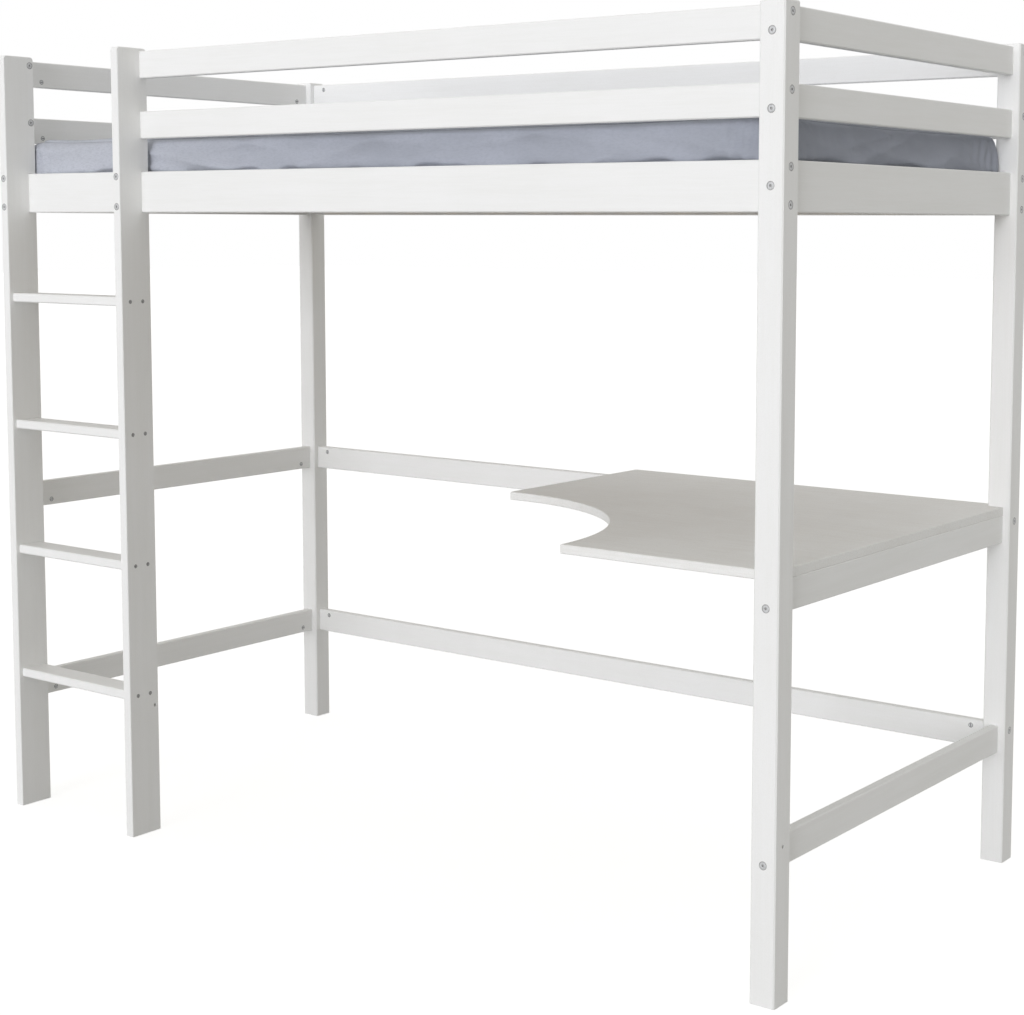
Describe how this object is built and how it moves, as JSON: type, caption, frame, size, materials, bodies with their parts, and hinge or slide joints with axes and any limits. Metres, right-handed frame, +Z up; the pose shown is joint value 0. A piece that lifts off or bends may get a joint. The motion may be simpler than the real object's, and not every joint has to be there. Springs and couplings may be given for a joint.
{
  "type": "loft bed",
  "caption": "High single bed on square posts with guard rails, a fixed ladder at one end, a desk top with a round cut-out under the other end, a slatted base and a loose mattress.",
  "frame": {"origin": "on the floor, at the middle of the outside box of the bed and its ladder", "axes": "+X along the bed from the ladder end to the desk end, +Y from the front to the back, +Z up"},
  "size_m": [2.084, 1.035, 1.73],
  "materials": {
    "painted_wood": "satin white paint",
    "desk_board": "satin white paint",
    "bare_wood": "sanded softwood",
    "strap_webbing": "woven tape",
    "fastener_steel": "zinc plated",
    "mattress_cloth": "woven cotton cover"
  },
  "bodies": {
    "bed_frame": {"front_left_post": "painted_wood", "front_right_post": "painted_wood", "back_left_post": "painted_wood", "back_right_post": "painted_wood", "front_side_rail": "painted_wood", "front_top_guard": "painted_wood", "front_lower_guard": "painted_wood", "back_side_rail": "painted_wood", "back_top_guard": "painted_wood", "back_lower_guard": "painted_wood", "back_desk_rail": "painted_wood", "back_low_rail": "painted_wood", "left_end_rail": "painted_wood", "left_top_guard": "painted_wood", "left_lower_guard": "painted_wood", "left_desk_rail": "painted_wood", "left_low_rail": "painted_wood", "right_end_rail": "painted_wood", "right_top_guard": "painted_wood", "right_lower_guard": "painted_wood", "right_desk_rail": "painted_wood", "right_low_rail": "painted_wood", "ladder_left_upright": "painted_wood", "ladder_right_upright": "painted_wood", "ladder_tread_1": "painted_wood", "ladder_tread_2": "painted_wood", "ladder_tread_3": "painted_wood", "ladder_tread_4": "painted_wood", "desk_top": "desk_board", "front_slat_cleat": "painted_wood", "back_slat_cleat": "painted_wood", "slat_01": "bare_wood", "slat_02": "bare_wood", "slat_03": "bare_wood", "slat_04": "bare_wood", "slat_05": "bare_wood", "slat_06": "bare_wood", "slat_07": "bare_wood", "slat_08": "bare_wood", "slat_09": "bare_wood", "slat_10": "bare_wood", "slat_11": "bare_wood", "slat_12": "bare_wood", "slat_13": "bare_wood", "slat_14": "bare_wood", "front_slat_strap": "strap_webbing", "back_slat_strap": "strap_webbing", "post_bolts": "fastener_steel", "guard_bolts": "fastener_steel", "ladder_rail_bolts": "fastener_steel", "ladder_post_bolts": "fastener_steel", "barrel_nuts": "fastener_steel", "tee_nuts": "fastener_steel", "tread_screws": "fastener_steel", "desk_screws": "fastener_steel"},
    "loose_mattress": {"mattress": "mattress_cloth"}
  },
  "joints": [
    {"name": "mattress_lift", "type": "slide", "parent": "bed_frame", "child": "loose_mattress", "axis": [0, 0, 1], "range_m": [0, 0.36]}
  ]
}
